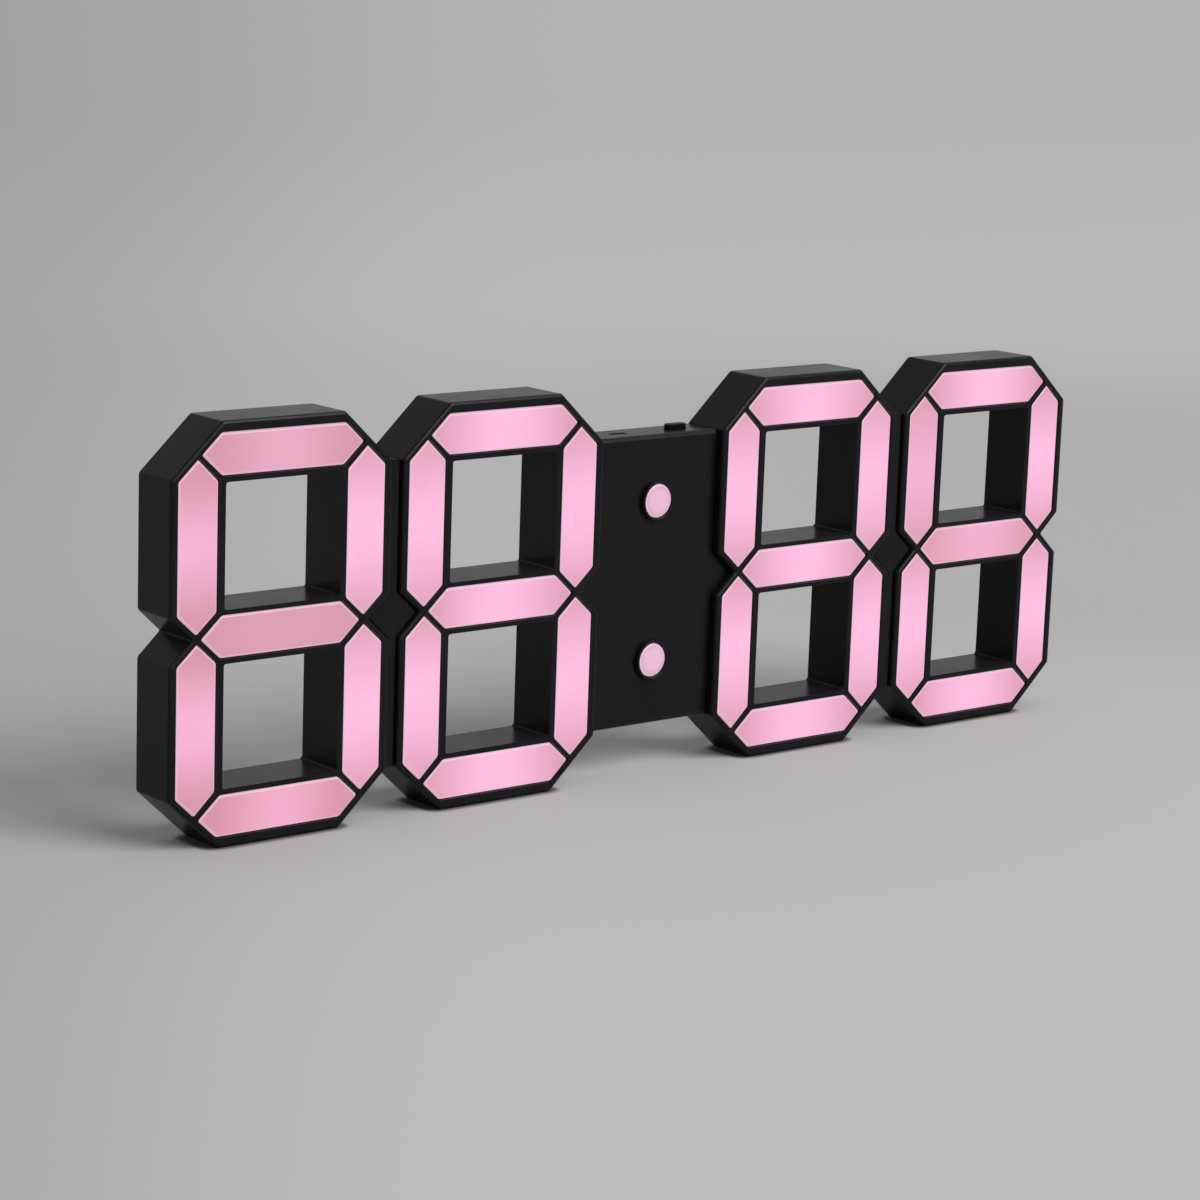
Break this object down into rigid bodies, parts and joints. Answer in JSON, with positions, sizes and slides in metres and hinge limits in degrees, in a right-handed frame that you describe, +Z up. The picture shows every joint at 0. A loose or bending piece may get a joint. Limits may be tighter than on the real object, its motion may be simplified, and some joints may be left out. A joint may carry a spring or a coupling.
{
  "type": "led wall clock",
  "caption": "Slim black wall clock of open seven-segment digits with glowing pink segment lenses, a round-dot colon, a top push button and a top power slot.",
  "frame": {"origin": "centre of the overall footprint, on the surface the clock stands on", "axes": "+X right seen from the front, +Y from the front towards the back, +Z up"},
  "size_m": [0.3808, 0.0188, 0.1312],
  "materials": {
    "black_plastic": "fine matte moulded ABS",
    "pink_lens": "milky translucent, lit from behind",
    "white_plastic": "opaque white",
    "circuit_board": "green solder mask",
    "cable_grey": "flat ribbon",
    "steel": "plated",
    "dark_nylon": "satin"
  },
  "bodies": {
    "clock": {"digit_1_housing": "black_plastic", "digit_2_housing": "black_plastic", "digit_3_housing": "black_plastic", "digit_4_housing": "black_plastic", "digit_1_diffuser": "pink_lens", "digit_2_diffuser": "pink_lens", "digit_3_diffuser": "pink_lens", "digit_4_diffuser": "pink_lens", "digit_1_light_box": "white_plastic", "digit_2_light_box": "white_plastic", "digit_3_light_box": "white_plastic", "digit_4_light_box": "white_plastic", "digit_1_led_board": "circuit_board", "digit_2_led_board": "circuit_board", "digit_3_led_board": "circuit_board", "digit_4_led_board": "circuit_board", "digit_1_rear_cover": "black_plastic", "digit_2_rear_cover": "black_plastic", "digit_3_rear_cover": "black_plastic", "digit_4_rear_cover": "black_plastic", "digit_1_upper_screw": "steel", "digit_1_lower_screw": "steel", "digit_2_upper_screw": "steel", "digit_2_lower_screw": "steel", "digit_3_upper_screw": "steel", "digit_3_lower_screw": "steel", "digit_4_upper_screw": "steel", "digit_4_lower_screw": "steel", "centre_screw_1": "steel", "centre_screw_2": "steel", "centre_screw_3": "steel", "centre_screw_4": "steel", "left_bridge": "black_plastic", "right_bridge": "black_plastic", "left_outer_ribbon": "cable_grey", "left_inner_ribbon": "cable_grey", "right_inner_ribbon": "cable_grey", "right_outer_ribbon": "cable_grey", "centre_housing": "black_plastic", "centre_rear_cover": "black_plastic", "upper_colon_lens": "pink_lens", "lower_colon_lens": "pink_lens", "main_board": "circuit_board", "power_socket": "steel", "top_switch": "dark_nylon", "minus_switch": "dark_nylon", "plus_switch": "dark_nylon", "buzzer": "dark_nylon", "cell_holder": "dark_nylon", "coin_cell": "steel"},
    "top_button": {"top_button": "black_plastic", "top_switch_plunger": "dark_nylon"},
    "minus_button": {"minus_button": "black_plastic", "minus_switch_plunger": "dark_nylon"},
    "plus_button": {"plus_button": "black_plastic", "plus_switch_plunger": "dark_nylon"},
    "battery_door": {"battery_door": "black_plastic"}
  },
  "joints": [
    {"name": "top_button_press", "type": "slide", "parent": "clock", "child": "top_button", "axis": [0, 0, -1], "range_m": [0, 0.0005], "stiffness_N_per_m": 400, "springref_m": -0.0005},
    {"name": "minus_button_press", "type": "slide", "parent": "clock", "child": "minus_button", "axis": [0, -1, 0], "range_m": [0, 0.0005], "stiffness_N_per_m": 400, "springref_m": -0.0005},
    {"name": "plus_button_press", "type": "slide", "parent": "clock", "child": "plus_button", "axis": [0, -1, 0], "range_m": [0, 0.0005], "stiffness_N_per_m": 400, "springref_m": -0.0005},
    {"name": "battery_door_twist", "type": "hinge", "parent": "clock", "child": "battery_door", "pos_m": [0, 0.0078, 0.04751], "axis": [0, 1, 0], "range_deg": [0, 60]}
  ]
}
